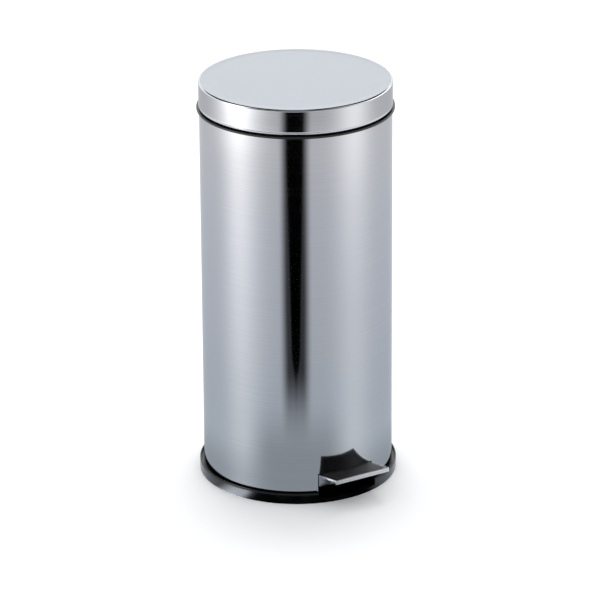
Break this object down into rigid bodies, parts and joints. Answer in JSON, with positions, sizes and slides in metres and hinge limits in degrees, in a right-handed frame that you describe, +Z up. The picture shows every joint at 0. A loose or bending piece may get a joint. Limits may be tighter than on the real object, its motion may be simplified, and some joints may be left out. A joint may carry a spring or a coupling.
{
  "type": "pedal trash can",
  "caption": "Free-standing round steel waste bin with a black base and collar: stepping on the pedal lifts a rod that swings the hinged lid open over a lift-out inner bucket.",
  "frame": {"origin": "on the can's own axis, at floor level, in the flat underside of the base moulding", "axes": "+Z up along the can's axis, -Y towards the pedal, +Y towards the lid hinge, +X to the can's right seen from the pedal side"},
  "size_m": [0.304, 0.3547, 0.63],
  "materials": {
    "polished_steel": "mirror-polished stainless sheet",
    "satin_steel": "polished side, satin blue-grey top",
    "bright_steel": "bright polished",
    "plain_steel": "zinc-plated",
    "black_gloss_plastic": "gloss black moulding",
    "black_plastic": "fine moulded black",
    "grey_plastic": "moulded grey",
    "black_rubber": "fine-ribbed black rubber"
  },
  "bodies": {
    "bin_body": {"body_shell": "polished_steel", "base_moulding": "black_gloss_plastic", "base_grip_ring": "black_rubber", "top_collar": "black_plastic", "hinge_housing": "black_plastic", "housing_screw_1": "plain_steel", "housing_screw_2": "plain_steel", "hinge_pin": "plain_steel", "hinge_pin_clip": "plain_steel", "rod_guide_1": "grey_plastic", "rod_guide_2": "grey_plastic", "guide_rivet_1": "plain_steel", "guide_rivet_2": "plain_steel", "pivot_bracket_1": "plain_steel", "pivot_bracket_2": "plain_steel", "bracket_screw_1": "plain_steel", "bracket_screw_2": "plain_steel", "bracket_screw_3": "plain_steel", "bracket_screw_4": "plain_steel", "pivot_pin": "plain_steel", "pivot_clip": "plain_steel", "lever_buffer": "black_rubber"},
    "lid": {"lid_shell": "satin_steel", "lid_liner": "black_plastic", "lid_buffer_1": "black_rubber", "lid_buffer_2": "black_rubber", "lid_buffer_3": "black_rubber", "lid_buffer_4": "black_rubber", "lid_hinge_leaf": "plain_steel", "leaf_screw_1": "plain_steel", "leaf_screw_2": "plain_steel"},
    "push_rod": {"push_rod": "plain_steel"},
    "pedal": {"pedal_lever": "plain_steel", "pedal_tray": "bright_steel", "pedal_pad": "black_rubber", "pedal_rivet_1": "plain_steel", "pedal_rivet_2": "plain_steel"},
    "bucket": {"inner_bucket": "black_plastic"},
    "bail": {"bucket_bail": "plain_steel"}
  },
  "joints": [
    {"name": "lid_hinge", "type": "hinge", "parent": "bin_body", "child": "lid", "pos_m": [0, 0.156, 0.602], "axis": [-1, 0, 0], "range_deg": [0, 72]},
    {"name": "pedal_press", "type": "hinge", "parent": "bin_body", "child": "pedal", "pos_m": [0, -0.03, 0.022], "axis": [1, 0, 0], "range_deg": [0, 8.85]},
    {"name": "rod_slide", "type": "slide", "parent": "bin_body", "child": "push_rod", "axis": [0, 0, 1], "range_m": [0, 0.0248]},
    {"name": "bucket_lift", "type": "slide", "parent": "bin_body", "child": "bucket", "axis": [0, 0, 1], "range_m": [0, 0.008]},
    {"name": "bail_swing", "type": "hinge", "parent": "bucket", "child": "bail", "pos_m": [0, 0, 0.6024], "axis": [-1, 0, 0], "range_deg": [0, 5.5]}
  ],
  "couplings": [
    {"joint": "pedal_press", "follows": "lid_hinge", "ratio": 0.1227},
    {"joint": "rod_slide", "follows": "lid_hinge", "m_per_rad": 0.019656}
  ]
}
